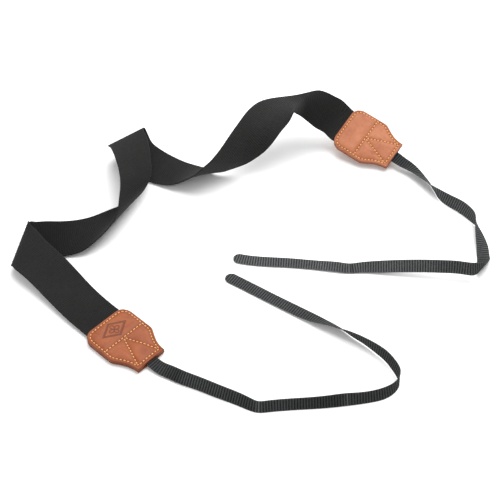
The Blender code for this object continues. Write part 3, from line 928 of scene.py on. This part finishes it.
def leather_layer(name, origin, axes, side, marks, material):
    """One layer: face points, inner points, and the wall between them along the grid's border.

    Across the tab the columns are shares of its half width, from -1 to 1.
    """
    ahead, left, up = axes
    along, share = np.meshgrid(
        graded(TAB_LENGTH, LAYER_ROWS, LAYER_EDGE_STEPS, 1.2 * MM),
        graded(2.0, LAYER_COLUMNS, LAYER_EDGE_STEPS, 0.06) - 1,
        indexing="ij",
    )
    aside = share * tab_half_width(along)
    height, masks = face_height(along, aside, marks)
    inner = held_height(along, aside)
    height = np.maximum(height, inner + LEAST_LEATHER)
    if side < 0:
        height = np.minimum(height, inner.max() + LEATHER)

    def place(level):
        return origin + along[..., None] * ahead + side * (aside[..., None] * left + level[..., None] * up)

    count, wide = along.shape
    points = np.concatenate([place(height).reshape(-1, 3), place(inner).reshape(-1, 3)])
    grid = np.arange(count * wide).reshape(count, wide)
    quads = np.stack([grid[:-1, :-1], grid[1:, :-1], grid[1:, 1:], grid[:-1, 1:]], -1).reshape(-1, 4)
    border = np.concatenate([grid[:, 0], grid[-1, 1:], grid[-2::-1, -1], grid[0, -2:0:-1]])
    onward = np.roll(border, -1)
    wall = np.stack([onward, border, border + count * wide, onward + count * wide], -1)
    faces = np.concatenate([quads, quads[:, ::-1] + count * wide, wall])
    made = put_in_scene(name, points, faces.tolist(), material)
    for attribute, face in masks.items():
        inside = face if attribute == "cut" else np.zeros_like(face)
        values = np.concatenate([face.ravel(), inside.ravel()]).astype(np.float32)
        made.data.attributes.new(attribute, "FLOAT", "POINT").data.foreach_set("value", values)
    return made


TABS = (("near", near_edge, near_axes), ("far", far_edge, far_axes))
for name, edge, axes in TABS:
    for side, layer in ((1, "front"), (-1, "back")):
        marks = ornament() if (name, layer) == ("near", "front") else ()
        leather = leather_layer(f"{layer}_leather_{name}", edge, axes, side, marks, tan_leather[name])
        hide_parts(f"leather_{layer}_{name}")
        print(leather.name, len(leather.data.polygons), "faces")

# %% [markdown]
# ## Stitches
# The tabs are sewn with thick waxed thread in a warm yellow, one stitch every 3.3 mm or so. Each
# stitch is a short arch of two twisted plies that rises out of one needle hole and goes down into
# the next. A few dozen faces are enough for one, and all the stitches of a face are one mesh.

# %% Thread
def thread_material():
    """Waxed polyester thread: warm yellow, darker in the twist, slightly shiny."""
    made, tree, shader = bare_material("waxed thread")
    nodes = Nodes(tree)
    place = nodes.add("ShaderNodeTexCoord").outputs["Object"]
    tone = nodes.noise(place, 1200, 3)
    colour = nodes.ramp(tone, (0.3, (0.60, 0.25, 0.055)), (0.7, (0.86, 0.46, 0.16)))
    nodes.join(colour, shader.inputs["Base Color"])
    bump = nodes.add("ShaderNodeBump")
    bump.inputs["Strength"].default_value = 0.4
    bump.inputs["Distance"].default_value = 0.05 * MM
    nodes.join(nodes.noise(place, 5000, 2), bump.inputs["Height"])
    nodes.join(bump.outputs["Normal"], shader.inputs["Normal"])
    shader.inputs["Roughness"].default_value = 0.5
    shader.inputs["Sheen Weight"].default_value = 0.15
    return made


waxed_thread = thread_material()
print("finish:", waxed_thread.name)

# %% Rows of stitches
THREAD_RADIUS = 0.47 * MM
STITCH_SHARE = 0.74  # of the pitch that shows on top
STITCH_SLANT = 0.10
STITCH_RISE = 0.62 * MM
STITCH_SUNK = {1: 0.40 * MM, -1: 0.85 * MM}  # below the face, deeper on the side that lies on the floor
RINGS, SPOKES = 9, 8


def stitch_mesh(name, origin, axes, side):
    """All stitches of one face. A point is centre(u) + r(u, q) (cos q * sideways + sin q * up).

    u runs from 0 to 1 along a stitch and q round it. With h = 4u(1 - u), the centre rises by h^0.6
    from below the face, the radius grows with h^0.4 from both ends, and two plies wind round the
    stitch once: the radius also swells by cos(2 (q - 2 pi u)).
    """
    ahead, left, up = axes
    a = np.vstack([spots[:-1] for spots in stitch_spots])
    b = np.vstack([spots[1:] for spots in stitch_spots])
    middle, way = (a + b) / 2, unit(b - a)
    sideways = np.stack([-way[:, 1], way[:, 0]], -1)
    way, sideways = unit(way + STITCH_SLANT * sideways), unit(sideways - STITCH_SLANT * way)
    reach = np.linalg.norm(b - a, axis=1) * STITCH_SHARE / 2
    base = face_height(middle[:, 0], middle[:, 1])[0]
    u = np.linspace(0, 1, RINGS)[None, :, None]
    q = np.arange(SPOKES)[None, None, :] * (2 * math.pi / SPOKES)
    rise = 4 * u * (1 - u)
    plies = 1 + 0.13 * np.cos(2 * (q - 2 * math.pi * u))
    radius = THREAD_RADIUS * (0.30 + 0.70 * rise**0.4) * plies
    step = (2 * u - 1) * reach[:, None, None]
    flat = (
        middle[:, None, None, :]
        + way[:, None, None, :] * step[..., None]
        + sideways[:, None, None, :] * (radius * np.cos(q))[..., None]
    )
    level = base[:, None, None] - STITCH_SUNK[side] + STITCH_RISE * rise**0.6 + 0.8 * radius * np.sin(q)
    points = origin + flat[..., :1] * ahead + side * (flat[..., 1:] * left + level[..., None] * up)
    points = points.reshape(-1, 3)
    per_stitch = RINGS * SPOKES
    first = np.arange(len(middle)) * per_stitch
    ring = first[:, None, None] + np.arange(RINGS - 1)[None, :, None] * SPOKES
    spoke = np.arange(SPOKES)[None, None, :]
    onward = (spoke + 1) % SPOKES
    sides = np.stack([ring + onward, ring + onward + SPOKES, ring + spoke + SPOKES, ring + spoke], -1)
    caps = first[:, None] + np.arange(SPOKES)
    ends = first[:, None] + per_stitch - 1 - np.arange(SPOKES)
    faces = sides.reshape(-1, 4).tolist() + caps.tolist() + ends.tolist()
    return put_in_scene(name, points, faces, waxed_thread)


for name, edge, axes in TABS:
    for side, layer in ((1, "front"), (-1, "back")):
        stitches = stitch_mesh(f"stitches_{layer}_{name}", edge, axes, side)
        print(stitches.name, len(stitches.data.polygons), "faces")

# %% [markdown]
# ## Closing
# The scene is brought up to date.

# %% Finish
bpy.context.view_layer.update()
